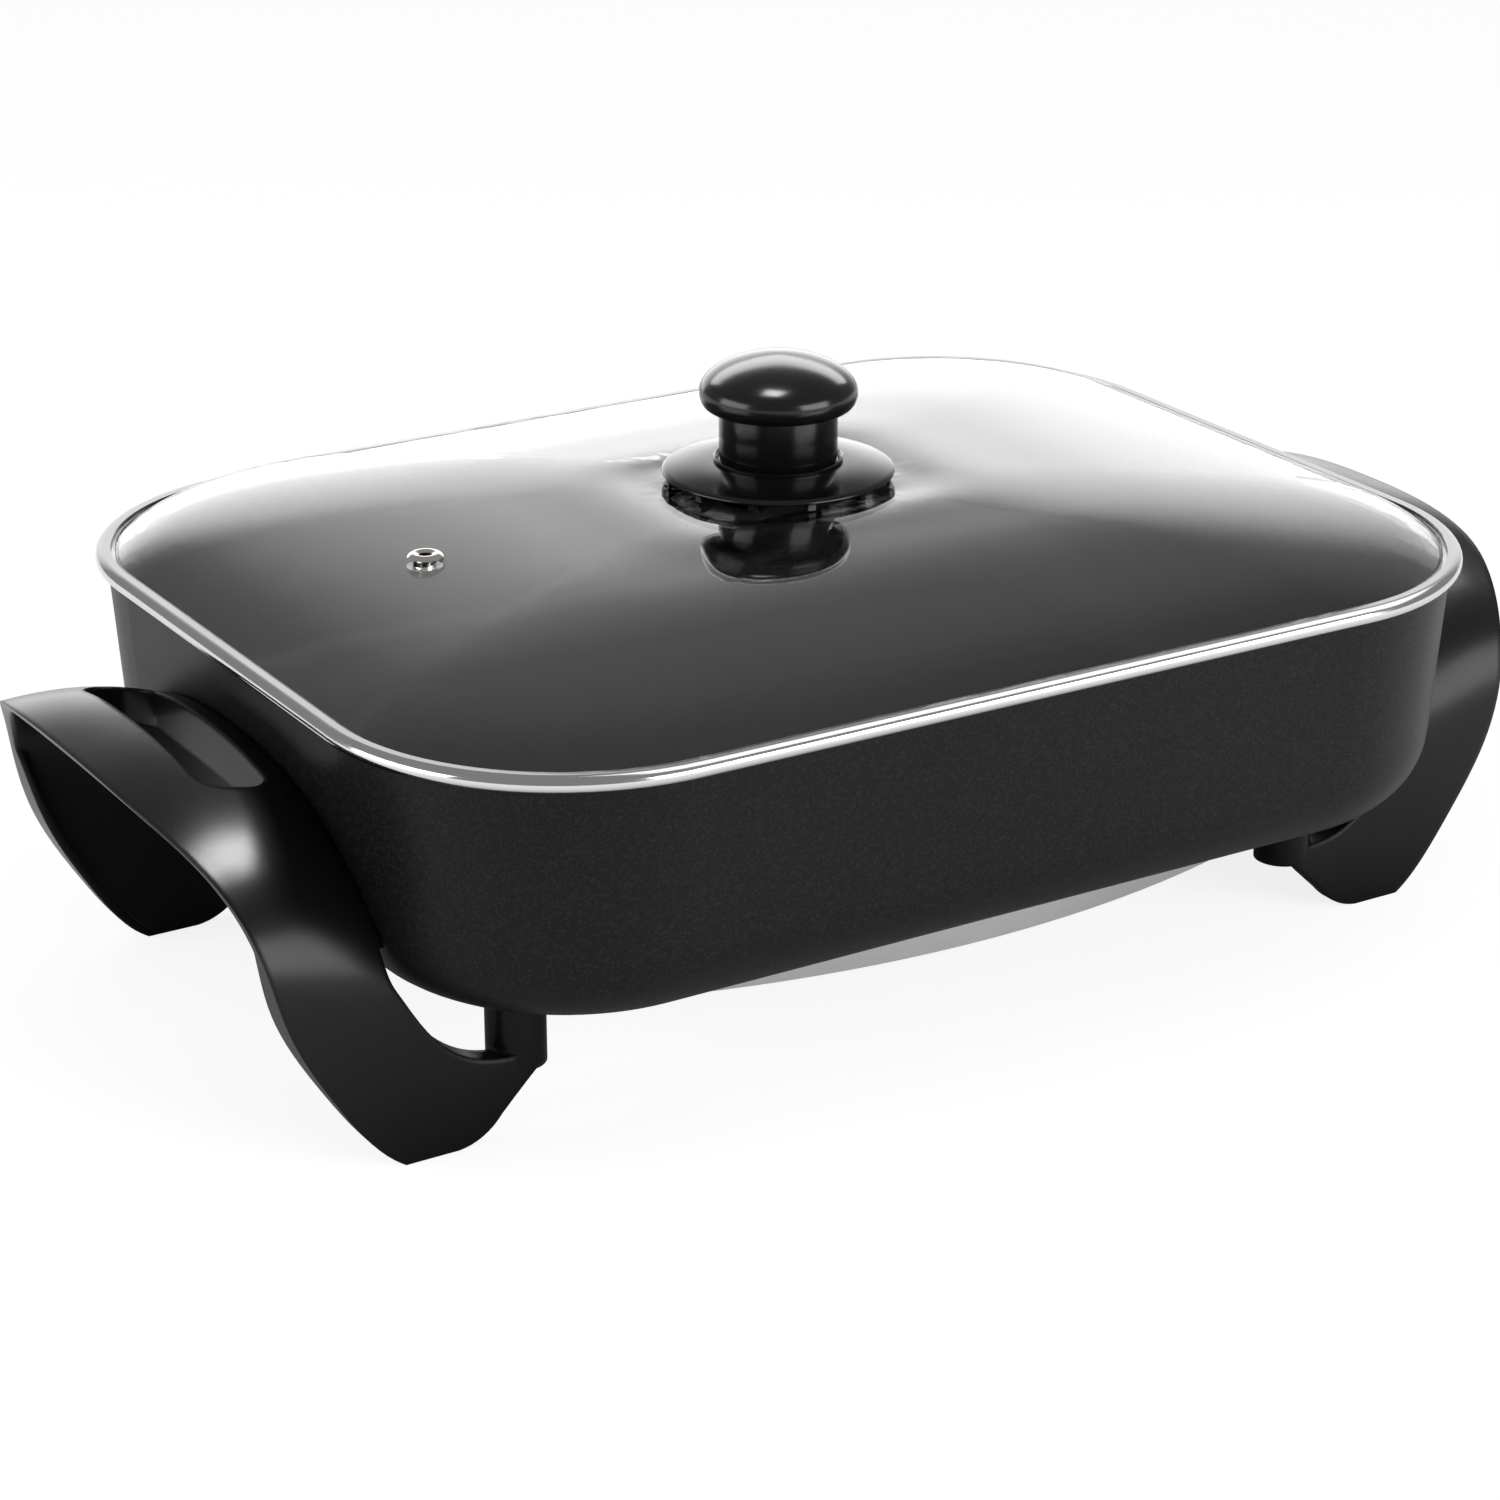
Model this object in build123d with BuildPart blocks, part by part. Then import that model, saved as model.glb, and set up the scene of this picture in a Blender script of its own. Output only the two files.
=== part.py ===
"""Electric skillet: cast pan on two moulded handle-and-leg pieces, under a lift-off glass lid.

Frame: origin on the table under the middle of the pan, +X along the pan towards the
control socket, +Z up. Millimetres.
"""
from build123d import *
import os
from math import cos, exp, pi, radians, sin, sqrt, tan

os.makedirs("parts", exist_ok=True)

# ---------------------------------------------------------------- driving dimensions
# Pan
pan_length = 398.5          # over the top edge
pan_width = 308.0
pan_corner = 77.0           # plan radius of the top corners
pan_depth = 81.5
pan_draft = 3.9             # degrees
pan_heel = 27.0             # outside radius between wall and bottom
pan_wall = 3.2
pan_floor = 4.0
table_gap = 48.8            # table to the pan's outer bottom

# Lid band and glass
band_overhang = 3.75        # the band stands out past the pan's wall
band_sheet = 0.7
band_crest = 5.0            # width of the rolled bead
glass_thickness = 4.0
glass_slip = 0.05           # room above and below the glass in the band
glass_bury = 2.0            # glass edge to the band's outer face
seat_gap = 0.3              # band to the pan's top edge
skirt_drop = 4.0            # locating skirt below the seat
skirt_gap = 1.2             # skirt to the pan's inner wall
dome_rise = 21.8            # crown of the glass above its edge
dome_brow = 0.3             # share of the rise that the steep border makes
dome_brow_length = 0.05     # how soon the border flattens, as a share of the half width
dome_power = 2.6            # 2 is a parabola; more makes a flatter crown
dome_core = 0.14            # size of the flat under the knob, as a share of the lid
dome_shares = (1.0, 0.97, 0.93, 0.87, 0.78, 0.66, 0.52, 0.38, 0.25)

# Vent eyelet
vent_offset = 130.0
vent_hole = 4.0
vent_barrel = 7.0
vent_flange = 11.5
vent_sheet = 1.0
vent_clearance = 0.25
vent_rest = 0.30            # flanges to the sloping glass, at their nearest

# Knob
knob_radius = 26.0
knob_top_rise = 43.2        # above the glass crown
knob_widest_rise = 29.2
knob_shoulder_rise = 21.2
knob_crown_curve = ((0.42, 1.3), (0.8, 5.6))   # share of the radius, and depth below the top
knob_under_curve = (0.9, 2.0)                  # share of the radius, and height above the shoulder
neck_radius = 19.5
neck_foot_rise = 4.6
neck_chamfer = (1.9, 3.0)
skirt_radius = 38.3
skirt_rim_rise = 3.8
skirt_plate = 1.6
skirt_dish = 0.9            # rim stands this much above the middle
skirt_edge = 0.8            # rounding of the rim
collar_radius = 21.6
collar_rise = 7.4
collar_lip = 0.6            # flat top of the collar
collar_flare = 2.2          # the collar's foot inside its lip
collar_inner = 1.4          # and the foot of its bore, inside the neck
hub_radius = 14.0
rib_count = 12
rib_length = 6.0
rib_width = 2.4
rib_depth = 0.9
gasket_radius = 12.0
gasket_thickness = 1.2
washer_radius = 11.0
washer_thickness = 1.2
knob_screw_radius = 2.5
knob_screw_length = 24.0
screw_run_out = 2.0         # the knob's hole runs this far past the screw
knob_hole_radius = 3.5      # through the glass, gaskets and hub
head_radius = 4.8
head_height = 3.0
insert_radius = 4.5
insert_length = 12.0

# Handle and legs
grip_reach = 54.75          # from the pan's end to the grip's outer face
handle_top = 117.5          # highest line of the grip above the table
shell_wall = 4.2
pan_clearance = 0.5         # handle to the pan's wall
arch_root = 9.25            # the arch starts this far inside the pan's end
arch_trim = 1.0             # and its inner edge is trimmed back by this
arch_steps = 16
leg_tail = 2.0              # the sections reach this far below the table, then the side view trims them
# Sections across the handle. As shares: the way out from the arch's root to the grip's face,
# half width (of the feet's), height where the arch leaves the leg and top of the arch (both of
# the handle's top). Last the roundness of the shoulder, where 2 is an ellipse.
arch_stations = [(0.0, 0.985, 0.383, 0.915, 2.25),
                 (0.28, 1.0, 0.426, 0.97, 2.3),
                 (0.59, 1.01, 0.477, 1.0, 2.35),
                 (1.0, 1.02, 0.528, 0.97, 2.5)]
foot_half_track = 98.5      # outer face of a foot from the centre line
foot_inset = 7.25           # outer edge of the foot's flat, inside the pan's end
foot_length = 18.0          # the flat that stands on the table
toe_curl = ((8.5, 2.6), (15.0, 8.0))   # in and up from the flat's inner edge
# A leg from the side. Its outer edge, as shares of the way out from the foot to the grip's face
# and of the handle's top; then the upper edge of its inner end, as shares of the way out from the
# post to the pan's end and of the handle's top. Each has the directions at its two ends.
edge_curve = ((1.008, 0.987), (0.88, 0.885), (0.742, 0.749), (0.597, 0.468), (0.347, 0.213), (0.0, 0.0))
edge_ends = ((-0.35, -1), (-1, -0.6))
ledge_curve = ((0.359, 0.243), (0.646, 0.345), (0.831, 0.468), (0.923, 0.596))
ledge_ends = ((1, 0), (0.1, 1))
slot_length = 97.0
slot_width = 23.0
slot_corner = 9.0
slot_back_wall = 8.0        # top of the handle between the slot and the pan
slot_collar = 3.0
slot_collar_depth = 20.0
lip_thickness = 3.0         # return lip along the legs' outer edge
lip_depth = 11.0
lip_top = 87.0
post_inset = 50.75          # middle of a post, inside the pan's end
post_radius = 9.5
post_skin = 1.0             # the post's side inside the leg's outer face
post_foot = 20.0            # underside of the post above the table
post_overlap = 2.0          # the leg runs this far past the post's middle
toe_height = 5.5            # the leg's inner end, above the post's underside
boss_radius = 5.5           # cast boss inside the post
boss_clearance = 0.3
boss_length = 17.0
blind_end = 2.0             # a boss's screw hole stops this far short of its root
thread_gap = 0.05
cut_margin = 10.0           # a cutting shape stands this far past what it cuts
screw_radius = 2.5
screw_head_radius = 4.6
screw_head_height = 2.8
screw_length = 16.0
screw_recess = 5.5          # the head lies this deep in the post
washer_outer = 5.2
washer_sheet = 1.0

# Heat plate and element
plate_end_inset = 59.25     # the plate's end and side, inside the pan's top edge
plate_side_inset = 26.0
plate_side_radius = 360.0
plate_corner = 65.0
plate_sheet = 3.0
ridge_width = 15.0
ridge_height = 8.4          # below the pan's bottom
element_radius = 3.4
element_bite = 0.15         # clearance in the groove
element_drop = 6.4          # centre line below the pan's bottom
element_bend = 18.0

# Control socket
pin_half_spacing = 19.0
pin_radius = 2.4
pin_length = 20.0           # free length past the insulator
pin_shoulder = 2.9          # thicker root inside the insulator
pin_set_out = 7.0           # the sheathed element ends this far past the guard's back
insulator_radius = 4.6
insulator_length = 10.0
well_bore = 3.3
well_wall = 1.4
well_length = 66.0
well_end = 4.0              # closed inner end
well_set_out = 19.0         # the tube's mouth past the guard's back
well_gap = 0.1
guard_sheet = 1.2
guard_width = 66.0
guard_height = 22.0
guard_inset = 14.25         # its back, inside the pan's end
guard_depth = 41.0
guard_tab_width = 8.0
guard_tab_length = 31.5
guard_tab_drop = 3.8        # tab's upper face below the pan's bottom
guard_hole_gap = 0.3
guard_screw_inset = 6.5     # from the tab's inner end
guard_screw_radius = 2.0
guard_screw_head = 3.6
guard_screw_head_height = 2.2
guard_screw_length = 7.0
guard_boss_radius = 4.0

# ---------------------------------------------------------------- worked-out places
pan_top = table_gap + pan_depth
pan_taper = tan(radians(pan_draft))
lid_length = pan_length + 2 * band_overhang
lid_width = pan_width + 2 * band_overhang
lid_corner = pan_corner + band_overhang
band_bottom = pan_top + seat_gap
band_top = band_bottom + 2 * band_sheet + glass_thickness + 2 * glass_slip
glass_low = band_bottom + band_sheet + glass_slip
glass_top = glass_low + glass_thickness
crown = glass_top + dome_rise
underglass = crown - glass_thickness
outer_half = pan_length / 2
handle_reach = outer_half + grip_reach
arch_start = outer_half - arch_root               # from here in, the arch keeps one section
foot_outer = outer_half - foot_inset
foot_inner = foot_outer - foot_length
post_x = outer_half - post_inset
post_y = foot_half_track - post_radius - post_skin
leg_start = post_x - post_radius
leg_root = post_x + post_overlap
leg_edge = [(foot_outer + out * (handle_reach - foot_outer), up * handle_top) for out, up in edge_curve]
leg_ledge = [(leg_root, post_foot + toe_height)]
leg_ledge += [(leg_root + out * (outer_half - leg_root), up * handle_top) for out, up in ledge_curve]
screw_seat = post_foot + screw_recess
element_height = table_gap - element_drop
plate_half_length = outer_half - plate_end_inset
plate_half_width = pan_width / 2 - plate_side_inset
post_spots = [(x, y) for x in (-post_x, post_x) for y in (-post_y, post_y)]
guard_back = outer_half - guard_inset
guard_mouth = guard_back + guard_depth
guard_tab_end = guard_back - guard_tab_length
guard_screw_x = guard_tab_end + guard_screw_inset
guard_spot_y = (guard_width - guard_tab_width) / 2
guard_spots = [(guard_screw_x, -guard_spot_y), (guard_screw_x, guard_spot_y)]
guard_tab_top = table_gap - guard_tab_drop
pin_root = guard_back + pin_set_out
well_mouth = guard_back + well_set_out
pin_spots = [(-pin_half_spacing, element_height), (pin_half_spacing, element_height)]


# ---------------------------------------------------------------- shared shapes
def pan_block(grow, top, bottom, heel):
    """The pan's drafted outline as a solid block, grown or shrunk sideways by `grow`."""
    with BuildPart() as block:
        with BuildSketch(Plane.XY.offset(pan_top)):
            RectangleRounded(pan_length + 2 * grow, pan_width + 2 * grow, pan_corner + grow)
        extrude(amount=bottom - pan_top, taper=pan_draft)
        if heel > 0:
            fillet(block.faces().sort_by(Axis.Z)[0].edges(), heel)
        if top > pan_top:
            with BuildSketch(Plane.XY.offset(pan_top)):
                RectangleRounded(pan_length + 2 * grow, pan_width + 2 * grow, pan_corner + grow)
            extrude(amount=top - pan_top)
    return block.part


def dome_shape(share):
    """Rise of the glass, before scaling, on the level line that is `share` of its edge's size."""
    brow = dome_brow * (1 - exp((share - 1) / dome_brow_length))
    return brow + (1 - dome_brow) * (1 - share ** dome_power)


def dome_height(share):
    """Height of the glass above its edge on the level line of that share."""
    return dome_rise * dome_shape(share) / dome_shape(dome_core)


def dome_section(share, shift, height):
    """One level line of the glass, moved in by `shift` at the edge."""
    with BuildSketch(Plane.XY.offset(height)) as level:
        RectangleRounded(2 * share * (dome_half_length - shift), 2 * share * (dome_half_width - shift),
                         share * (dome_corner - shift))
    return level.sketch


def oval_edges(inset):
    """Right-hand half data of the heat plate's outline: corner centre and tangent point."""
    side = plate_side_radius - inset
    corner = plate_corner - inset
    centre_x = plate_half_length - plate_corner
    rise = plate_half_width - plate_side_radius
    centre_y = rise + sqrt((plate_side_radius - plate_corner) ** 2 - centre_x ** 2)
    scale = side / (plate_side_radius - plate_corner)
    tangent = (centre_x * scale, rise + (centre_y - rise) * scale)
    return corner, (centre_x, centre_y), tangent


def corner_middle(inset):
    """Point halfway round the outline's corner."""
    corner, centre, tangent = oval_edges(inset)
    reach_x = tangent[0] - centre[0]
    reach_y = tangent[1] - centre[1]
    mid_x = reach_x + corner
    mid = sqrt(mid_x ** 2 + reach_y ** 2)
    return (centre[0] + mid_x / mid * corner, centre[1] + reach_y / mid * corner)


def oval_face(inset):
    """The heat plate's outline: long bowed sides, straight ends and round corners."""
    corner, centre, tangent = oval_edges(inset)
    middle = corner_middle(inset)
    end = plate_half_length - inset
    with BuildSketch() as outline:
        with BuildLine():
            Line((end, -centre[1]), (end, centre[1]))
            ThreePointArc((end, centre[1]), middle, tangent)
            ThreePointArc(tangent, (0, plate_half_width - inset), (-tangent[0], tangent[1]))
            ThreePointArc((-tangent[0], tangent[1]), (-middle[0], middle[1]), (-end, centre[1]))
            Line((-end, centre[1]), (-end, -centre[1]))
            ThreePointArc((-end, -centre[1]), (-middle[0], -middle[1]), (-tangent[0], -tangent[1]))
            ThreePointArc((-tangent[0], -tangent[1]), (0, inset - plate_half_width),
                          (tangent[0], -tangent[1]))
            ThreePointArc((tangent[0], -tangent[1]), (middle[0], -middle[1]), (end, -centre[1]))
        make_face()
    return outline.sketch


def arch_section(x, station, wall):
    """Closed outline of the handle across the pan at `x`: arch above, legs below."""
    half = station[1] * foot_half_track - wall
    spring = station[2] * handle_top
    rise = station[3] * handle_top - spring - wall
    power = station[4]
    foot = foot_half_track - wall
    arch = [(foot, -leg_tail), ((foot + half) / 2, spring / 2)]
    for step in range(arch_steps + 1):
        turn = pi * step / arch_steps
        side = 1 if turn <= pi / 2 else -1
        y = side * half * abs(cos(turn)) ** (2 / power)
        z = spring + rise * abs(sin(turn)) ** (2 / power)
        arch.append((y, z))
    arch += [(-(foot + half) / 2, spring / 2), (-foot, -leg_tail)]
    with BuildSketch(Plane.YZ.offset(x)) as section:
        with BuildLine():
            Spline(*arch)
            Line(arch[-1], arch[0])
        make_face()
    return section.sketch


def arch_block(wall, overrun):
    """Solid under the arch surface, from the legs' inner ends to `overrun` past the grip."""
    places = [(leg_start, arch_stations[0])]
    places += [(arch_start + station[0] * (handle_reach - arch_start), station)
               for station in arch_stations[:-1]]
    places += [(handle_reach + overrun, arch_stations[-1])]
    with BuildPart() as block:
        loft([arch_section(x, station, wall) for x, station in places])
    return block.part


def leg_outline():
    """Side view of a handle: grip above, a leg that sweeps down and in, its foot and inner end."""
    tip = post_x - post_overlap
    over = handle_top + cut_margin
    arch_edge = arch_start + arch_trim
    toe = [(foot_inner - back, up) for back, up in toe_curl]
    with BuildSketch(Plane.XZ) as side:
        with BuildLine():
            Line((leg_edge[0][0], over), leg_edge[0])
            Spline(*leg_edge, tangents=edge_ends)
            Line(leg_edge[-1], (foot_inner, 0))
            ThreePointArc((foot_inner, 0), *toe)
            Polyline(toe[-1], (tip, post_foot), (tip, leg_ledge[0][1]), leg_ledge[0])
            Spline(*leg_ledge, tangents=ledge_ends)
            Polyline(leg_ledge[-1], (arch_edge, leg_ledge[-1][1]), (arch_edge, over), (leg_edge[0][0], over))
        make_face()
    return side.sketch


def edge_strip(curve, ends, shift):
    """Strip between one of the leg's curves and the same curve moved by `shift`."""
    moved = [(x + shift[0], z + shift[1]) for x, z in curve]
    with BuildSketch(Plane.XZ) as strip:
        with BuildLine():
            Spline(*curve, tangents=ends)
            Line(curve[-1], moved[-1])
            Spline(*moved, tangents=ends)
            Line(moved[0], curve[0])
        make_face()
    return strip.sketch


# ---------------------------------------------------------------- pan
with BuildPart() as pan_body:
    add(pan_block(0, pan_top, table_gap, pan_heel))
    with BuildSketch(Plane.XY.offset(pan_top)):
        RectangleRounded(pan_length - 2 * pan_wall, pan_width - 2 * pan_wall, pan_corner - pan_wall)
    cavity = extrude(amount=pan_floor - pan_depth, taper=pan_draft, mode=Mode.PRIVATE)
    cavity = cavity.fillet(pan_heel - pan_wall, cavity.faces().sort_by(Axis.Z)[0].edges())
    add(cavity, mode=Mode.SUBTRACT)
    # Four cast bosses that the legs' posts slip over, and two small ones for the socket guard.
    for radius, length, spots in ((boss_radius, boss_length, post_spots),
                                  (guard_boss_radius, guard_tab_drop, guard_spots)):
        with BuildSketch(Plane.XY.offset(table_gap)):
            with Locations(spots):
                Circle(radius)
        extrude(amount=-length)
    for radius, length, blind, spots in (
            (screw_radius, boss_length, boss_length - blind_end, post_spots),
            (guard_screw_radius, guard_tab_drop, guard_screw_length, guard_spots)):
        with BuildSketch(Plane.XY.offset(table_gap - length)):
            with Locations(spots):
                Circle(radius + thread_gap)
        extrude(amount=blind, mode=Mode.SUBTRACT)
pan_body.part.label = "pan_body"
export_step(pan_body.part, "parts/pan_body.step")

# ---------------------------------------------------------------- handles with legs
arch_solid = arch_block(0, 0)
with BuildPart() as handle_skin:
    add(arch_solid)
    add(arch_block(shell_wall, shell_wall), mode=Mode.SUBTRACT)
    with BuildSketch(Plane.XZ):
        add(leg_outline())
    extrude(amount=2 * foot_half_track, both=True, mode=Mode.INTERSECT)

# Return lip round the legs' edges, deepest halfway down: each leg is a shallow channel.
with BuildPart() as edge_lip:
    with BuildSketch(Plane.XZ):
        add(edge_strip(leg_edge, edge_ends, (-lip_thickness, 0)))
        add(edge_strip(leg_ledge, ledge_ends, (0, -lip_thickness)))
    extrude(amount=2 * foot_half_track, both=True)
    with BuildSketch(Plane.YZ):
        with BuildLine():
            inner_face = foot_half_track - shell_wall
            deepest = (foot_half_track - lip_depth, lip_top / 2)
            Polyline((-inner_face, 0), (-inner_face, -lip_thickness),
                     (inner_face, -lip_thickness), (inner_face, 0))
            ThreePointArc((inner_face, 0), deepest, (inner_face, lip_top))
            Polyline((inner_face, lip_top), (2 * inner_face, lip_top), (2 * inner_face, 2 * handle_top),
                     (-2 * inner_face, 2 * handle_top), (-2 * inner_face, lip_top), (-inner_face, lip_top))
            ThreePointArc((-inner_face, lip_top), (-deepest[0], deepest[1]), (-inner_face, 0))
        make_face()
    extrude(amount=2 * handle_reach, mode=Mode.SUBTRACT)
    add(arch_solid, mode=Mode.INTERSECT)

# Collar that lines the finger slot; its pan side is the handle's back wall.
slot_back = outer_half - (pan_top - handle_top) * pan_taper + pan_clearance + slot_back_wall
slot_x = slot_back + slot_width / 2
with BuildPart() as slot_lining:
    with BuildSketch(Plane.XY.offset(handle_top - slot_collar_depth)):
        with Locations((slot_x, 0)):
            RectangleRounded(slot_width + 2 * slot_collar, slot_length + 2 * slot_collar,
                             slot_corner + slot_collar)
    extrude(amount=slot_collar_depth)
    add(arch_solid, mode=Mode.INTERSECT)

# Room in each post for the pan's boss, the screw and its sunk head.
with BuildPart() as post_hollows:
    for start, depth, radius in ((table_gap, boss_length + boss_clearance, boss_radius + boss_clearance),
                                 (table_gap, table_gap - post_foot, screw_radius + boss_clearance),
                                 (screw_seat, screw_recess + cut_margin, washer_outer + boss_clearance)):
        with BuildSketch(Plane.XY.offset(start)):
            with Locations((post_x, post_y), (post_x, -post_y)):
                Circle(radius)
        extrude(amount=-depth)

with BuildPart() as right_handle:
    add(handle_skin.part)
    add(edge_lip.part)
    add(slot_lining.part)
    # Posts under the pan at the legs' inner ends.
    with BuildSketch(Plane.XY.offset(post_foot)):
        with Locations((post_x, post_y), (post_x, -post_y)):
            Circle(post_radius)
    extrude(amount=table_gap - post_foot)
    with BuildSketch(Plane.XY.offset(handle_top - 2 * slot_collar_depth)):
        with Locations((slot_x, 0)):
            RectangleRounded(slot_width, slot_length, slot_corner)
    extrude(amount=3 * slot_collar_depth, mode=Mode.SUBTRACT)
    add(pan_block(pan_clearance, pan_top + cut_margin, table_gap, pan_heel + pan_clearance),
        mode=Mode.SUBTRACT)
    add(post_hollows.part, mode=Mode.SUBTRACT)
right_handle.part.label = "right_handle"
export_step(right_handle.part, "parts/right_handle.step")

with BuildPart() as left_handle:
    add(mirror(right_handle.part, about=Plane.YZ, mode=Mode.PRIVATE))
left_handle.part.label = "left_handle"
export_step(left_handle.part, "parts/left_handle.step")

# ---------------------------------------------------------------- fasteners of the handles
with BuildPart() as handle_screws:
    with BuildSketch(Plane.XY.offset(screw_seat - washer_sheet)):
        with Locations(post_spots):
            Circle(screw_head_radius)
    extrude(amount=-screw_head_height)
    fillet(handle_screws.faces().group_by(Axis.Z)[0].edges(), screw_head_height / 2)
    with BuildSketch(Plane.XY.offset(screw_seat - washer_sheet)):
        with Locations(post_spots):
            Circle(screw_radius)
    extrude(amount=screw_length)
handle_screws.part.label = "handle_screws"
export_step(handle_screws.part, "parts/handle_screws.step")

with BuildPart() as handle_washers:
    with BuildSketch(Plane.XY.offset(screw_seat)):
        with Locations(post_spots):
            Circle(washer_outer)
            Circle(screw_radius + thread_gap, mode=Mode.SUBTRACT)
    extrude(amount=-washer_sheet)
handle_washers.part.label = "handle_washers"
export_step(handle_washers.part, "parts/handle_washers.step")

# ---------------------------------------------------------------- heat plate and element
def element_path():
    """Centre line of the sheathed element: in at one terminal, round the ridge, out at the other."""
    inset = ridge_width / 2
    corner, centre, tangent = oval_edges(inset)
    middle = corner_middle(inset)
    end = plate_half_length - inset
    turn = element_bend * (1 - sqrt(0.5))
    with BuildLine(Plane.XY.offset(element_height)) as path:
        Line((pin_root, pin_half_spacing), (end + element_bend, pin_half_spacing))
        ThreePointArc((end + element_bend, pin_half_spacing), (end + turn, pin_half_spacing + turn),
                      (end, pin_half_spacing + element_bend))
        Line((end, pin_half_spacing + element_bend), (end, centre[1]))
        ThreePointArc((end, centre[1]), middle, tangent)
        ThreePointArc(tangent, (0, plate_half_width - inset), (-tangent[0], tangent[1]))
        ThreePointArc((-tangent[0], tangent[1]), (-middle[0], middle[1]), (-end, centre[1]))
        Line((-end, centre[1]), (-end, 0))
        mirror(about=Plane.XZ)
    return path.wire()


def element_tube(radius):
    """The element as a round bar of the given radius."""
    with BuildPart() as tube:
        with BuildSketch(Plane.YZ.offset(pin_root)):
            with Locations(pin_spots[1]):
                Circle(radius)
        sweep(path=element_path())
    return tube.part


with BuildPart() as heating_element:
    add(element_tube(element_radius))
heating_element.part.label = "heating_element"
export_step(heating_element.part, "parts/heating_element.step")

with BuildPart() as heat_plate:
    with BuildSketch(Plane.XY.offset(table_gap)):
        add(oval_face(0))
    extrude(amount=-ridge_height)
    with BuildSketch(Plane.XY.offset(table_gap - plate_sheet)):
        add(oval_face(ridge_width))
    extrude(amount=-ridge_height, mode=Mode.SUBTRACT)
    add(element_tube(element_radius + element_bite), mode=Mode.SUBTRACT)
    with BuildSketch(Plane.YZ.offset(well_mouth - well_length - well_gap)):
        with Locations((0, element_height)):
            Circle(well_bore + well_wall + well_gap)
    extrude(amount=2 * plate_half_length, mode=Mode.SUBTRACT)
heat_plate.part.label = "heat_plate"
export_step(heat_plate.part, "parts/heat_plate.step")

# ---------------------------------------------------------------- control socket
with BuildPart() as thermostat_well:
    with BuildSketch(Plane.YZ.offset(well_mouth)):
        with Locations((0, element_height)):
            Circle(well_bore + well_wall)
    extrude(amount=-well_length)
    with BuildSketch(Plane.YZ.offset(well_mouth)):
        with Locations((0, element_height)):
            Circle(well_bore)
    extrude(amount=well_end - well_length, mode=Mode.SUBTRACT)
thermostat_well.part.label = "thermostat_well"
export_step(thermostat_well.part, "parts/thermostat_well.step")

with BuildPart() as terminal_pins:
    with BuildSketch(Plane.YZ.offset(pin_root)):
        with Locations(pin_spots):
            Circle(pin_shoulder)
    extrude(amount=insulator_length)
    with BuildSketch(Plane.YZ.offset(pin_root + insulator_length)):
        with Locations(pin_spots):
            Circle(pin_radius)
    extrude(amount=pin_length)
    chamfer(terminal_pins.faces().group_by(Axis.X)[-1].edges(), pin_radius / 3)
terminal_pins.part.label = "terminal_pins"
export_step(terminal_pins.part, "parts/terminal_pins.step")

with BuildPart() as pin_insulators:
    with BuildSketch(Plane.YZ.offset(pin_root)):
        with Locations(pin_spots):
            Circle(insulator_radius)
            Circle(pin_shoulder + thread_gap, mode=Mode.SUBTRACT)
    extrude(amount=insulator_length)
pin_insulators.part.label = "pin_insulators"
export_step(pin_insulators.part, "parts/pin_insulators.step")

with BuildPart() as terminal_guard:
    with BuildSketch(Plane.YZ.offset(guard_back)):
        with Locations((0, element_height)):
            RectangleRounded(guard_width, guard_height, 3 * guard_sheet)
    extrude(amount=guard_mouth - guard_back)
    with BuildSketch(Plane.YZ.offset(guard_back + guard_sheet)):
        with Locations((0, element_height)):
            RectangleRounded(guard_width - 2 * guard_sheet, guard_height - 2 * guard_sheet, 2 * guard_sheet)
    extrude(amount=guard_mouth, mode=Mode.SUBTRACT)
    with BuildSketch(Plane.YZ.offset(guard_back)):
        with Locations(pin_spots):
            Circle(element_radius + guard_hole_gap)
        with Locations((0, element_height)):
            Circle(well_bore + well_wall + guard_hole_gap)
    extrude(amount=2 * guard_sheet, mode=Mode.SUBTRACT)
    with BuildSketch(Plane.XY.offset(guard_tab_top)):
        with Locations(((guard_tab_end + guard_back) / 2, guard_spot_y),
                       ((guard_tab_end + guard_back) / 2, -guard_spot_y)):
            Rectangle(guard_back - guard_tab_end + guard_sheet, guard_tab_width - 2 * guard_sheet)
        with Locations(guard_spots):
            Circle(guard_screw_radius + guard_hole_gap, mode=Mode.SUBTRACT)
    extrude(amount=-guard_sheet)
terminal_guard.part.label = "terminal_guard"
export_step(terminal_guard.part, "parts/terminal_guard.step")

with BuildPart() as guard_screws:
    with BuildSketch(Plane.XY.offset(guard_tab_top - guard_sheet)):
        with Locations(guard_spots):
            Circle(guard_screw_head)
    extrude(amount=-guard_screw_head_height)
    with BuildSketch(Plane.XY.offset(guard_tab_top - guard_sheet)):
        with Locations(guard_spots):
            Circle(guard_screw_radius)
    extrude(amount=guard_screw_length)
guard_screws.part.label = "guard_screws"
export_step(guard_screws.part, "parts/guard_screws.step")

# ---------------------------------------------------------------- lid glass
glass_length = lid_length - 2 * glass_bury
glass_width = lid_width - 2 * glass_bury
glass_corner = lid_corner - glass_bury
leave_band = band_crest - glass_bury + 2 * band_sheet


dome_half_length = glass_length / 2 - leave_band
dome_half_width = glass_width / 2 - leave_band
dome_corner = glass_corner - leave_band


def dome_block(shift, drop):
    """Solid under the domed face, moved in by `shift` and down by `drop`."""
    with BuildPart() as dome:
        loft([dome_section(share, shift, glass_top + dome_height(share) - drop)
              for share in (*dome_shares, dome_core)])
    return dome.part


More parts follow.
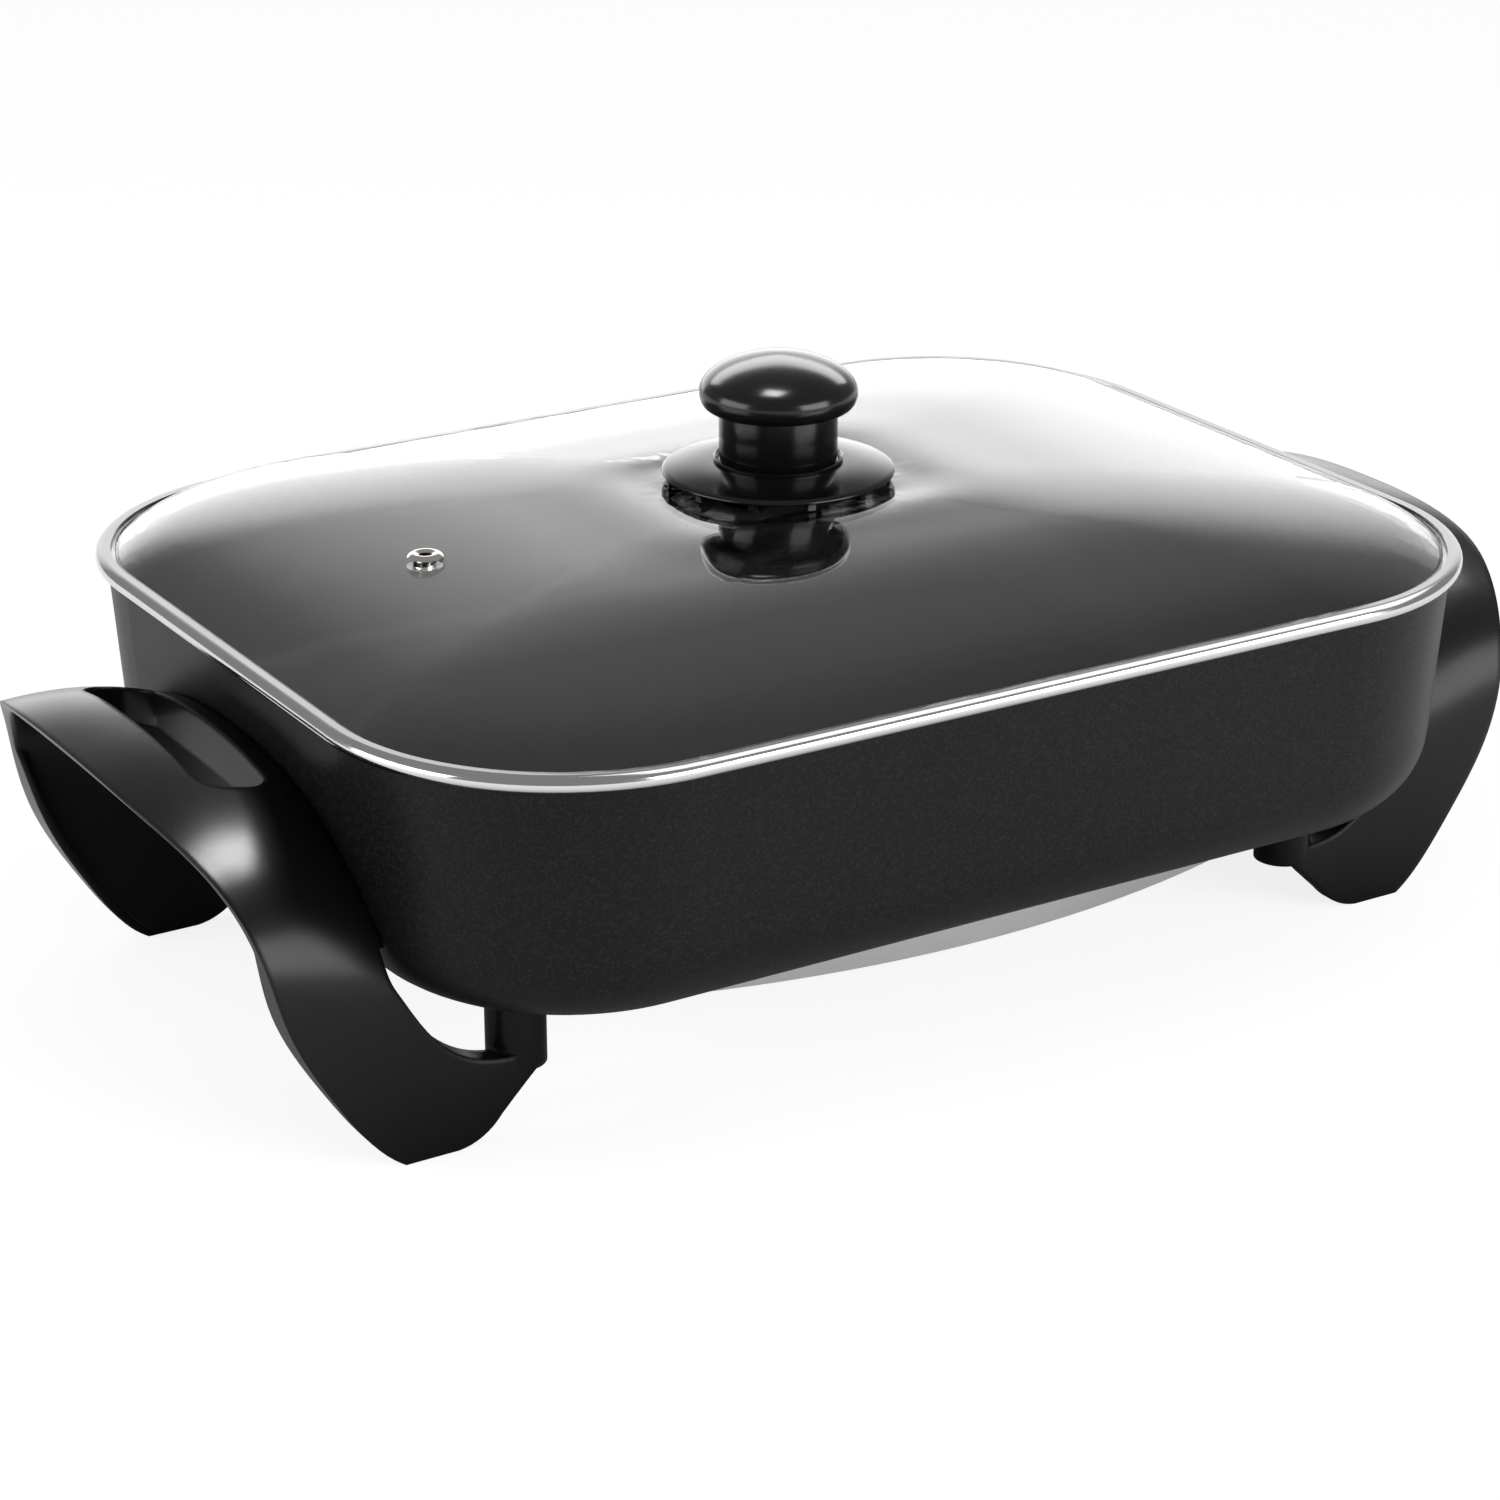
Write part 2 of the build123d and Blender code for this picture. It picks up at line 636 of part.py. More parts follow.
with BuildPart() as lid_glass:
    with BuildSketch(Plane.XY.offset(glass_low)):
        RectangleRounded(glass_length, glass_width, glass_corner)
    extrude(amount=glass_thickness)
    add(dome_block(0, 0))
    add(dome_block(glass_thickness / 2, glass_thickness), mode=Mode.SUBTRACT)
    with BuildSketch(Plane.XY.offset(glass_low)):
        Circle(knob_hole_radius)
        with Locations((-vent_offset, 0)):
            Circle(vent_barrel / 2 + vent_clearance)
    extrude(amount=2 * dome_rise, mode=Mode.SUBTRACT)
lid_glass.part.label = "lid_glass"
export_step(lid_glass.part, "parts/lid_glass.step")

# ---------------------------------------------------------------- lid band
with BuildPart() as lid_band:
    outer = lid_length / 2
    bead = (band_top - band_bottom) / 2
    skirt_face = outer - band_overhang - pan_wall - skirt_gap
    with BuildLine(Plane.XY.offset(band_bottom)) as band_path:
        half_x = lid_length / 2
        half_y = lid_width / 2
        Line((half_x, 0), (half_x, half_y - lid_corner))
        JernArc((half_x, half_y - lid_corner), (0, 1), lid_corner, 90)
        Line((half_x - lid_corner, half_y), (lid_corner - half_x, half_y))
        JernArc((lid_corner - half_x, half_y), (-1, 0), lid_corner, 90)
        Line((-half_x, half_y - lid_corner), (-half_x, lid_corner - half_y))
        JernArc((-half_x, lid_corner - half_y), (0, -1), lid_corner, 90)
        Line((lid_corner - half_x, -half_y), (half_x - lid_corner, -half_y))
        JernArc((half_x - lid_corner, -half_y), (1, 0), lid_corner, 90)
        Line((half_x, lid_corner - half_y), (half_x, 0))
    with BuildSketch(Plane.XZ) as band_profile:
        with BuildLine():
            ThreePointArc((outer - bead, band_bottom), (outer, band_bottom + bead), (outer - bead, band_top))
            Polyline((outer - bead, band_top), (outer - band_crest, band_top),
                     (outer - band_crest, band_top - band_sheet),
                     (outer - glass_bury + glass_slip, band_top - band_sheet),
                     (outer - glass_bury + glass_slip, band_bottom + band_sheet),
                     (skirt_face - band_sheet, band_bottom + band_sheet),
                     (skirt_face - band_sheet, band_bottom - skirt_drop),
                     (skirt_face, band_bottom - skirt_drop), (skirt_face, band_bottom),
                     (outer - bead, band_bottom))
        make_face()
    sweep(sections=band_profile.sketch, path=band_path.wire())
lid_band.part.label = "lid_band"
export_step(lid_band.part, "parts/lid_band.step")

# ---------------------------------------------------------------- vent eyelet
vent_heights = [glass_top + dome_height((vent_offset + side * vent_flange / 2) / dome_half_length)
                for side in (-1, 1)]
vent_axis = Plane(origin=(-vent_offset, 0, 0), x_dir=(1, 0, 0), z_dir=(0, -1, 0))
with BuildPart() as vent_eyelet:
    with BuildSketch(vent_axis):
        with BuildLine():
            upper = max(vent_heights) + vent_rest
            lower = min(vent_heights) - glass_thickness - vent_rest
            hole = vent_hole / 2
            barrel = vent_barrel / 2
            flange = vent_flange / 2
            Polyline((hole, lower - vent_sheet), (flange, lower - vent_sheet), (flange, lower),
                     (barrel, lower), (barrel, upper), (flange, upper))
            ThreePointArc((flange, upper), ((flange + barrel) / 2, upper + vent_sheet),
                          (hole, upper + vent_sheet / 2))
            Line((hole, upper + vent_sheet / 2), (hole, lower - vent_sheet))
        make_face()
    revolve(axis=Axis((-vent_offset, 0, 0), (0, 0, 1)))
vent_eyelet.part.label = "vent_eyelet"
export_step(vent_eyelet.part, "parts/vent_eyelet.step")

# ---------------------------------------------------------------- knob
gasket_top = crown + gasket_thickness
head_seat = underglass - gasket_thickness - washer_thickness
skirt_rim = crown + skirt_rim_rise
skirt_middle = skirt_rim - skirt_dish
collar_top = crown + collar_rise
neck_foot = crown + neck_foot_rise
rim_edge = skirt_radius - skirt_edge
collar_foot = (collar_radius - collar_flare, skirt_middle + skirt_dish / 3)
collar_bore = (collar_radius - collar_lip, collar_top)
bore_foot = (neck_radius - collar_inner, neck_foot)
with BuildPart() as knob_skirt:
    with BuildSketch(Plane.XZ):
        with BuildLine():
            Polyline((knob_hole_radius, gasket_top), (hub_radius, gasket_top),
                     (hub_radius, skirt_middle - skirt_plate))
            Spline((hub_radius, skirt_middle - skirt_plate),
                   (skirt_radius * 0.7, skirt_middle - skirt_plate * 0.9), (rim_edge, skirt_rim - skirt_edge))
            ThreePointArc((rim_edge, skirt_rim - skirt_edge), (skirt_radius, skirt_rim - skirt_edge / 4),
                          (rim_edge, skirt_rim))
            Spline((rim_edge, skirt_rim), (skirt_radius * 0.72, skirt_middle + skirt_dish / 9), collar_foot)
            Spline(collar_foot, ((collar_foot[0] + collar_radius) / 2, (skirt_middle + collar_top) / 2),
                   (collar_radius, collar_top))
            Line((collar_radius, collar_top), collar_bore)
            Spline(collar_bore, (neck_radius + collar_lip, collar_top - collar_flare), bore_foot)
            Polyline(bore_foot, (knob_hole_radius, neck_foot), (knob_hole_radius, gasket_top))
        make_face()
    revolve(axis=Axis.Z)
    with BuildSketch(Plane.XY.offset(skirt_middle - skirt_plate - rib_depth)):
        with PolarLocations(skirt_radius - rib_length, rib_count):
            Rectangle(rib_length, rib_width)
    extrude(amount=rib_depth + skirt_dish)
knob_skirt.part.label = "knob_skirt"
export_step(knob_skirt.part, "parts/knob_skirt.step")

with BuildPart() as knob:
    with BuildSketch(Plane.XZ):
        with BuildLine():
            top = crown + knob_top_rise
            widest = crown + knob_widest_rise
            shoulder = crown + knob_shoulder_rise
            Spline((0, top), *[(share * knob_radius, top - depth) for share, depth in knob_crown_curve],
                   (knob_radius, widest), (knob_under_curve[0] * knob_radius, shoulder + knob_under_curve[1]),
                   (neck_radius, shoulder), tangents=[(1, 0), (-1, -0.25)])
            Polyline((neck_radius, shoulder), (neck_radius, neck_foot + neck_chamfer[1]),
                     (neck_radius - neck_chamfer[0], neck_foot), (0, neck_foot), (0, top))
        make_face()
    revolve(axis=Axis.Z)
    with BuildSketch(Plane.XY.offset(neck_foot)):
        Circle(insert_radius)
    extrude(amount=insert_length, mode=Mode.SUBTRACT)
    with BuildSketch(Plane.XY.offset(neck_foot)):
        Circle(knob_screw_radius + thread_gap)
    extrude(amount=head_seat + knob_screw_length + screw_run_out - neck_foot, mode=Mode.SUBTRACT)
knob.part.label = "knob"
export_step(knob.part, "parts/knob.step")

with BuildPart() as knob_insert:
    with BuildSketch(Plane.XY.offset(neck_foot)):
        Circle(insert_radius)
        Circle(knob_screw_radius + thread_gap, mode=Mode.SUBTRACT)
    extrude(amount=insert_length)
knob_insert.part.label = "knob_insert"
export_step(knob_insert.part, "parts/knob_insert.step")

with BuildPart() as upper_gasket:
    with BuildSketch(Plane.XY.offset(crown)):
        Circle(gasket_radius)
        Circle(knob_hole_radius, mode=Mode.SUBTRACT)
    extrude(amount=gasket_thickness)
upper_gasket.part.label = "upper_gasket"
export_step(upper_gasket.part, "parts/upper_gasket.step")

with BuildPart() as lower_gasket:
    with BuildSketch(Plane.XY.offset(underglass)):
        Circle(gasket_radius)
        Circle(knob_hole_radius, mode=Mode.SUBTRACT)
    extrude(amount=-gasket_thickness)
lower_gasket.part.label = "lower_gasket"
export_step(lower_gasket.part, "parts/lower_gasket.step")

with BuildPart() as knob_washer:
    with BuildSketch(Plane.XY.offset(underglass - gasket_thickness)):
        Circle(washer_radius)
        Circle(knob_screw_radius + thread_gap, mode=Mode.SUBTRACT)
    extrude(amount=-washer_thickness)
knob_washer.part.label = "knob_washer"
export_step(knob_washer.part, "parts/knob_washer.step")

with BuildPart() as knob_screw:
    with BuildSketch(Plane.XY.offset(head_seat)):
        Circle(head_radius)
    extrude(amount=-head_height)
    fillet(knob_screw.faces().sort_by(Axis.Z)[0].edges(), head_height / 2)
    with BuildSketch(Plane.XY.offset(head_seat)):
        Circle(knob_screw_radius)
    extrude(amount=knob_screw_length)
knob_screw.part.label = "knob_screw"
export_step(knob_screw.part, "parts/knob_screw.step")
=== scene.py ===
# %% [markdown]
# # An electric skillet with a glass lid
#
# The appliance is a deep rectangular pan with a non-stick coating.
# Moulded handles at its two ends also serve as its legs, and a domed glass lid with a knob sits on top.
# The shapes come ready made from the CAD model, so this lesson is about finishes, light and the camera.
# We begin by loading the CAD model.

import math

import bmesh
import bpy
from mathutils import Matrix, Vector


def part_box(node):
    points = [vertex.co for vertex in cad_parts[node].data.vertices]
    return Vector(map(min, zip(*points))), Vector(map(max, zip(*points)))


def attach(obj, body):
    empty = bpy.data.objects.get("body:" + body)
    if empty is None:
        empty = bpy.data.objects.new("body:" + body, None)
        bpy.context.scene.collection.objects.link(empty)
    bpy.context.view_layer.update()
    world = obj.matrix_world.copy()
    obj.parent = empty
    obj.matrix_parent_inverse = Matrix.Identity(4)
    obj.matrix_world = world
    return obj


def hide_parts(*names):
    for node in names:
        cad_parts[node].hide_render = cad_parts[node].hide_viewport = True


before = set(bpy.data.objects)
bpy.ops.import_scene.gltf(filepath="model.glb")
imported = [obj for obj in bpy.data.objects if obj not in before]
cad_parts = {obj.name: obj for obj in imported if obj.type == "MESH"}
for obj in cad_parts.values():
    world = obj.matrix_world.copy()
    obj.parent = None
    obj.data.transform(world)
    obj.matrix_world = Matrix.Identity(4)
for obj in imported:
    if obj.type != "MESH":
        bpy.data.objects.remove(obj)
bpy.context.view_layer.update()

# %% [markdown]
# ## Short names for node work
#
# A finish in Blender is a small network of nodes.
# Writing it in code takes three moves again and again: make a node, set its sockets, join it to the next.
# Two helpers keep those moves on one line each, so that what follows reads like a recipe.

# %% Helpers for nodes


def add_node(tree, kind, sockets=None, **settings):
    """Adds a node to a tree, with its settings and the values of its unlinked sockets."""
    made = tree.nodes.new(kind)
    for name, value in settings.items():
        setattr(made, name, value)
    for name, value in (sockets or {}).items():
        made.inputs[name].default_value = value
    return made


def start_finish(name, **sockets):
    """A new material: returns it with its node tree and its Principled shader."""
    finish = bpy.data.materials.new(name)
    finish.use_nodes = True
    shader = finish.node_tree.nodes["Principled BSDF"]
    for socket, value in sockets.items():
        shader.inputs[socket.replace("_", " ")].default_value = value
    return finish, finish.node_tree, shader


def start_group(name, inputs, outputs):
    """A shader node group with named number sockets: returns it with its two end nodes."""
    group = bpy.data.node_groups.new(name, "ShaderNodeTree")
    for label, value in inputs.items():
        socket = group.interface.new_socket(label, in_out="INPUT", socket_type="NodeSocketFloat")
        socket.default_value = value
    for label in outputs:
        group.interface.new_socket(label, in_out="OUTPUT", socket_type="NodeSocketFloat")
    return group, group.nodes.new("NodeGroupInput"), group.nodes.new("NodeGroupOutput")


def use_group(tree, group, **values):
    """Places a node group in a material, with its own values."""
    placed = tree.nodes.new("ShaderNodeGroup")
    placed.node_tree = group
    for label, value in values.items():
        placed.inputs[label.replace("_", " ")].default_value = value
    return placed


# %% [markdown]
# ## Effects that several finishes share
#
# Moulded plastic, coatings and cast metal all have a very fine unevenness that breaks up a reflection.
# One noise texture, read at two sizes, gives the height of it.
# It is built once as a group, and each finish sets how fine the grain is.

# %% Surface grain
grain, grain_in, grain_out = start_group("surface_grain", {"Scale": 900.0, "Coarse": 0.12}, ["Height"])
place = add_node(grain, "ShaderNodeTexCoord")
fine = add_node(grain, "ShaderNodeTexNoise", {"Detail": 3.0, "Roughness": 0.6})
coarse_scale = add_node(grain, "ShaderNodeMath", operation="MULTIPLY")
coarse = add_node(grain, "ShaderNodeTexNoise", {"Detail": 1.0})
height = add_node(grain, "ShaderNodeMath", operation="ADD")
grain.links.new(place.outputs["Object"], fine.inputs["Vector"])
grain.links.new(place.outputs["Object"], coarse.inputs["Vector"])
grain.links.new(grain_in.outputs["Scale"], fine.inputs["Scale"])
grain.links.new(grain_in.outputs["Scale"], coarse_scale.inputs[0])
grain.links.new(grain_in.outputs["Coarse"], coarse_scale.inputs[1])
grain.links.new(coarse_scale.outputs[0], coarse.inputs["Scale"])
grain.links.new(fine.outputs["Fac"], height.inputs[0])
grain.links.new(coarse.outputs["Fac"], height.inputs[1])
grain.links.new(height.outputs[0], grain_out.inputs["Height"])
print("surface grain:", len(grain.nodes), "nodes")

# %% [markdown]
# Shiny surfaces are never evenly shiny: they are wiped, handled and cooled unevenly.
# This group turns a slow, soft noise into a roughness that drifts between two values.

# %% Uneven polish
polish, polish_in, polish_out = start_group(
    "uneven_polish", {"Scale": 14.0, "Smoothest": 0.1, "Roughest": 0.2}, ["Roughness", "Drift"]
)
place = add_node(polish, "ShaderNodeTexCoord")
cloud = add_node(polish, "ShaderNodeTexNoise", {"Detail": 4.0, "Roughness": 0.55, "Distortion": 0.6})
spread = add_node(polish, "ShaderNodeMapRange", {"From Min": 0.3, "From Max": 0.7})
polish.links.new(place.outputs["Object"], cloud.inputs["Vector"])
polish.links.new(polish_in.outputs["Scale"], cloud.inputs["Scale"])
polish.links.new(cloud.outputs["Fac"], spread.inputs["Value"])
polish.links.new(polish_in.outputs["Smoothest"], spread.inputs["To Min"])
polish.links.new(polish_in.outputs["Roughest"], spread.inputs["To Max"])
polish.links.new(spread.outputs["Result"], polish_out.inputs["Roughness"])
polish.links.new(cloud.outputs["Fac"], polish_out.inputs["Drift"])
print("uneven polish:", len(polish.nodes), "nodes")

# %% [markdown]
# Rolled, turned and drawn metal carries fine parallel lines.
# Squeezing the coordinates along one axis before a noise texture stretches its dots into such lines.
# The inputs give how tightly the lines are packed along each axis.

# %% Drawn lines
lines, lines_in, lines_out = start_group(
    "drawn_lines", {"Along X": 40.0, "Along Y": 900.0, "Along Z": 900.0}, ["Height"]
)
place = add_node(lines, "ShaderNodeTexCoord")
packing = add_node(lines, "ShaderNodeCombineXYZ")
squeeze = add_node(lines, "ShaderNodeVectorMath", operation="MULTIPLY")
streak = add_node(lines, "ShaderNodeTexNoise", {"Scale": 1.0, "Detail": 3.0, "Roughness": 0.7})
for letter in "XYZ":
    lines.links.new(lines_in.outputs[f"Along {letter}"], packing.inputs[letter])
lines.links.new(place.outputs["Object"], squeeze.inputs[0])
lines.links.new(packing.outputs["Vector"], squeeze.inputs[1])
lines.links.new(squeeze.outputs["Vector"], streak.inputs["Vector"])
lines.links.new(streak.outputs["Fac"], lines_out.inputs["Height"])
print("drawn lines:", len(lines.nodes), "nodes")

# %% [markdown]
# Most finishes below do the same three things.
# A group's height raises the surface through a Bump node, the drifting polish sets the roughness,
# and a mask blends two hues into the base colour.
# Three helpers say so, and each finish then needs only a few lines.

# %% Helpers for finishes


def raise_surface(tree, shader, group, depth, **values):
    """Places a group and lets its height move a shader's normal: depth is in metres."""
    placed = use_group(tree, group, **values)
    bump = add_node(tree, "ShaderNodeBump", {"Strength": 1.0, "Distance": depth})
    tree.links.new(placed.outputs["Height"], bump.inputs["Height"])
    tree.links.new(bump.outputs["Normal"], shader.inputs["Normal"])
    return bump


def drift_gloss(tree, shader, **values):
    """Places the uneven polish and lets it set a shader's roughness."""
    placed = use_group(tree, polish, **values)
    tree.links.new(placed.outputs["Roughness"], shader.inputs["Roughness"])
    return placed


def blend_hues(tree, shader, mask, hue, other_hue):
    """Blends a shader's base colour from one hue to the other as the mask goes from 0 to 1."""
    mix = add_node(tree, "ShaderNodeMix", data_type="RGBA")
    mix.inputs["A"].default_value = (*hue, 1.0)
    mix.inputs["B"].default_value = (*other_hue, 1.0)
    tree.links.new(mask, mix.inputs["Factor"])
    tree.links.new(mix.outputs["Result"], shader.inputs["Base Color"])


# %% [markdown]
# ## The pan's coating
#
# The whole pan is sprayed with a satin black non-stick coating.
# Mica in the paint leaves flecks so fine that they only read as a grain.
# The film dries with a very slight orange peel.
# Flecks come from a Voronoi texture: each cell gets its own random grey between two near blacks.

# %% Pan coating
coating, tree, shader = start_finish("flecked_coating", Specular_IOR_Level=0.16)
place = add_node(tree, "ShaderNodeTexCoord")
cells = add_node(tree, "ShaderNodeTexVoronoi", {"Scale": 1500.0})
each_cell = add_node(tree, "ShaderNodeSeparateColor")
mica = add_node(tree, "ShaderNodeMapRange", {"From Min": 0.55, "From Max": 1.0})
tree.links.new(place.outputs["Object"], cells.inputs["Vector"])
tree.links.new(cells.outputs["Color"], each_cell.inputs["Color"])
tree.links.new(each_cell.outputs["Red"], mica.inputs["Value"])
blend_hues(tree, shader, mica.outputs["Result"], (0.0065, 0.0065, 0.0068), (0.017, 0.017, 0.0175))
drift_gloss(tree, shader, Scale=9.0, Smoothest=0.36, Roughest=0.42)
raise_surface(tree, shader, grain, 0.0000015, Scale=1400.0, Coarse=0.25)
print("pan coating:", len(tree.nodes), "nodes")

# %% [markdown]
# ## Moulded phenolic
#
# Handles, legs and knob are moulded from phenolic resin, the black plastic that bears a hot pan.
# The handles leave a lightly blasted mould, so their shine is soft and broad.
# A mould's edges are never sharp, and each shows as a thin bright line.
# A Bevel node makes that line by turning the normals near each edge.
# The deep pocket behind the grip is given painted shade.
# An Ambient Occlusion node finds where the surface is shut in and turns the gloss down there, which paints
# shade into the pocket's reflection.

# %% Handle plastic
full_gloss = 0.27
handle_plastic, tree, shader = start_finish("handle_phenolic", Specular_IOR_Level=full_gloss)
shader.inputs["Base Color"].default_value = (0.005, 0.005, 0.0053, 1.0)
drift_gloss(tree, shader, Scale=11.0, Smoothest=0.24, Roughest=0.31)
skin = raise_surface(tree, shader, grain, 0.000006, Scale=1100.0, Coarse=0.1)
soft_edge = add_node(tree, "ShaderNodeBevel", {"Radius": 0.0025}, samples=6)
tree.links.new(soft_edge.outputs["Normal"], skin.inputs["Normal"])
# Painted shade: ambient occlusion turns the gloss down in the pocket and other shut-in places.
painted_recess_shade = add_node(tree, "ShaderNodeAmbientOcclusion", {"Distance": 0.06}, samples=6)
shaded_gloss = add_node(
    tree, "ShaderNodeMapRange", {"From Min": 0.3, "From Max": 0.8, "To Min": 0.06, "To Max": full_gloss}
)
tree.links.new(painted_recess_shade.outputs["AO"], shaded_gloss.inputs["Value"])
tree.links.new(shaded_gloss.outputs["Result"], shader.inputs["Specular IOR Level"])
print("handle plastic:", len(tree.nodes), "nodes")

# %% [markdown]
# The knob leaves a smoother mould than the handles, so it mirrors the lamps more clearly.
# A trace of waviness keeps those mirror images from looking drawn with a ruler.

# %% Knob plastic
knob_plastic, tree, shader = start_finish("knob_phenolic", Specular_IOR_Level=0.42)
shader.inputs["Base Color"].default_value = (0.0045, 0.0045, 0.0048, 1.0)
drift_gloss(tree, shader, Scale=30.0, Smoothest=0.15, Roughest=0.22)
raise_surface(tree, shader, grain, 0.000006, Scale=240.0, Coarse=0.3)
print("knob plastic:", len(tree.nodes), "nodes")

# %% [markdown]
# ## Metals
#
# The lid's band is a rolled strip of stainless steel, polished along its length.
# Lines packed tightly in height and loosely round the lid imitate the rolling.

# %% Stainless band
stainless, tree, shader = start_finish("polished_stainless", Metallic=1.0)
shader.inputs["Base Color"].default_value = (0.68, 0.68, 0.69, 1.0)
drift_gloss(tree, shader, Scale=20.0, Smoothest=0.09, Roughest=0.17)
raise_surface(tree, shader, lines, 0.000006, Along_X=60.0, Along_Y=60.0, Along_Z=1800.0)
print("stainless:", len(tree.nodes), "nodes")

# %% [markdown]
# The plate under the pan is bare aluminium, with the dull bloom that casting leaves.
# Screws and the guard round the terminals are zinc plated, which shifts a little between blue and yellow.
# The terminal pins are turned and then nickel plated, so fine rings run round them.

# %% Aluminium, zinc and nickel
aluminium, tree, shader = start_finish("cast_aluminium", Metallic=1.0)
bloom = drift_gloss(tree, shader, Scale=26.0, Smoothest=0.34, Roughest=0.48)
blend_hues(tree, shader, bloom.outputs["Drift"], (0.5, 0.5, 0.51), (0.4, 0.4, 0.4))
raise_surface(tree, shader, grain, 0.00004, Scale=700.0, Coarse=0.2)

zinc, tree, shader = start_finish("zinc_plate", Metallic=1.0)
plating = drift_gloss(tree, shader, Scale=60.0, Smoothest=0.2, Roughest=0.36)
blend_hues(tree, shader, plating.outputs["Drift"], (0.6, 0.62, 0.66), (0.68, 0.67, 0.62))
raise_surface(tree, shader, lines, 0.000008, Along_X=900.0, Along_Y=50.0, Along_Z=900.0)

nickel, tree, shader = start_finish("bright_nickel", Metallic=1.0)
shader.inputs["Base Color"].default_value = (0.76, 0.74, 0.7, 1.0)
drift_gloss(tree, shader, Scale=90.0, Smoothest=0.1, Roughest=0.2)
raise_surface(tree, shader, lines, 0.000005, Along_X=1600.0, Along_Y=120.0, Along_Z=120.0)
print("bare and plated metals:", aluminium.name, zinc.name, nickel.name)

# %% [markdown]
# The heater is a steel tube filled with a glowing wire.
# Each time it runs, the oxide on the steel thickens and changes hue from straw to brown to blue.
# A colour ramp over a slow noise lays those hues in soft patches.

# %% Heat-tinted sheath
sheath, tree, shader = start_finish("heat_tinted_steel", Metallic=1.0)
patches = drift_gloss(tree, shader, Scale=24.0, Smoothest=0.3, Roughest=0.5)
ramp = add_node(tree, "ShaderNodeValToRGB")
ramp.color_ramp.elements[0].position = 0.3
ramp.color_ramp.elements[0].color = (0.42, 0.36, 0.27, 1.0)
ramp.color_ramp.elements[1].position = 0.72
ramp.color_ramp.elements[1].color = (0.2, 0.22, 0.29, 1.0)
middle = ramp.color_ramp.elements.new(0.5)
middle.color = (0.3, 0.25, 0.24, 1.0)
tree.links.new(patches.outputs["Drift"], ramp.inputs["Fac"])
tree.links.new(ramp.outputs["Color"], shader.inputs["Base Color"])
raise_surface(tree, shader, grain, 0.00003, Scale=1500.0, Coarse=0.3)
print("sheath:", len(tree.nodes), "nodes")

# %% [markdown]
# Inside the knob sits a threaded brass insert, which the lid's screw bites into.
# Brass darkens with age, so a mask blends a fresh yellow with a browner one.

# %% Brass
brass, tree, shader = start_finish("turned_brass", Metallic=1.0)
patina = drift_gloss(tree, shader, Scale=70.0, Smoothest=0.18, Roughest=0.34)
blend_hues(tree, shader, patina.outputs["Drift"], (0.78, 0.6, 0.3), (0.55, 0.4, 0.18))
raise_surface(tree, shader, lines, 0.00001, Along_X=100.0, Along_Y=100.0, Along_Z=2200.0)
print("brass:", len(tree.nodes), "nodes")

# %% [markdown]
# ## Ceramic and silicone
#
# White ceramic beads keep the terminals apart, because plastic would melt there.
# Soft silicone rings cushion the glass where the knob clamps it.
# Both let a little light in under the skin, which subsurface scattering imitates.

# %% Ceramic and silicone
ceramic, tree, shader = start_finish("glazed_ceramic", Subsurface_Weight=0.15, Subsurface_Scale=0.002)
glaze = drift_gloss(tree, shader, Scale=120.0, Smoothest=0.2, Roughest=0.4)
blend_hues(tree, shader, glaze.outputs["Drift"], (0.84, 0.82, 0.77), (0.72, 0.69, 0.63))
raise_surface(tree, shader, grain, 0.00002, Scale=2200.0, Coarse=0.4)

silicone, tree, shader = start_finish("grey_silicone", Subsurface_Weight=0.3, Subsurface_Scale=0.002)
dust = drift_gloss(tree, shader, Scale=80.0, Smoothest=0.42, Roughest=0.6)
blend_hues(tree, shader, dust.outputs["Drift"], (0.2, 0.2, 0.2), (0.34, 0.34, 0.33))
raise_surface(tree, shader, grain, 0.00002, Scale=1600.0, Coarse=0.2)
print("insulators:", ceramic.name, silicone.name)

# %% [markdown]
# ## The lid's glass
#
# The lid is a sheet of tempered glass, pressed over a former while soft.
# So it is smooth but not quite even, which a very slow, shallow bump imitates.
# Principled glass needs only transmission and glass's index of refraction.
# A faint drift of roughness stands for the film that steam and wiping leave.

# %% Glass
glass, tree, shader = start_finish("tempered_glass", Transmission_Weight=1.0, IOR=1.5)
shader.inputs["Base Color"].default_value = (0.96, 0.98, 0.975, 1.0)
drift_gloss(tree, shader, Scale=7.0, Smoothest=0.0, Roughest=0.03)
raise_surface(tree, shader, grain, 0.00002, Scale=9.0, Coarse=0.4)
print("glass:", len(tree.nodes), "nodes")

# %% [markdown]
# ## The knob and its skirt
#
# The knob is round: a cap on a plain neck, over a wide skirt that keeps fingers off the hot glass.
# The cap's curves are superellipses, which are ellipses made squarer or flatter by their two powers.
# One formula then gives a whole curve, with no points placed by hand.

# %% Superellipse


def squared_arc(wide, high, side_power, top_power, steps):
    """Points of a quarter of a superellipse, from its widest point to its top."""
    turns = [step / steps * math.pi / 2 for step in range(steps + 1)]
    return [
        (wide * max(math.cos(turn), 0.0) ** (2 / side_power), high * math.sin(turn) ** (2 / top_power))
        for turn in turns
    ]


print("a quarter of a circle:", [round(reach, 3) for reach, rise in squared_arc(1.0, 1.0, 2.0, 2.0, 4)])

# %% [markdown]
# Round pieces are made as on a lathe: an outline of radius and height goes once round the Z axis.
# Where the outline touches the axis its corners fall together, so they are merged there.
# Edges sharper than a set angle stay crisp, and all others are shaded smooth.

# %% Lathe
lid_body = "lid"
around = 160
same_spot = 1e-6
no_length = 1e-7
crisp_from = math.radians(35.0)


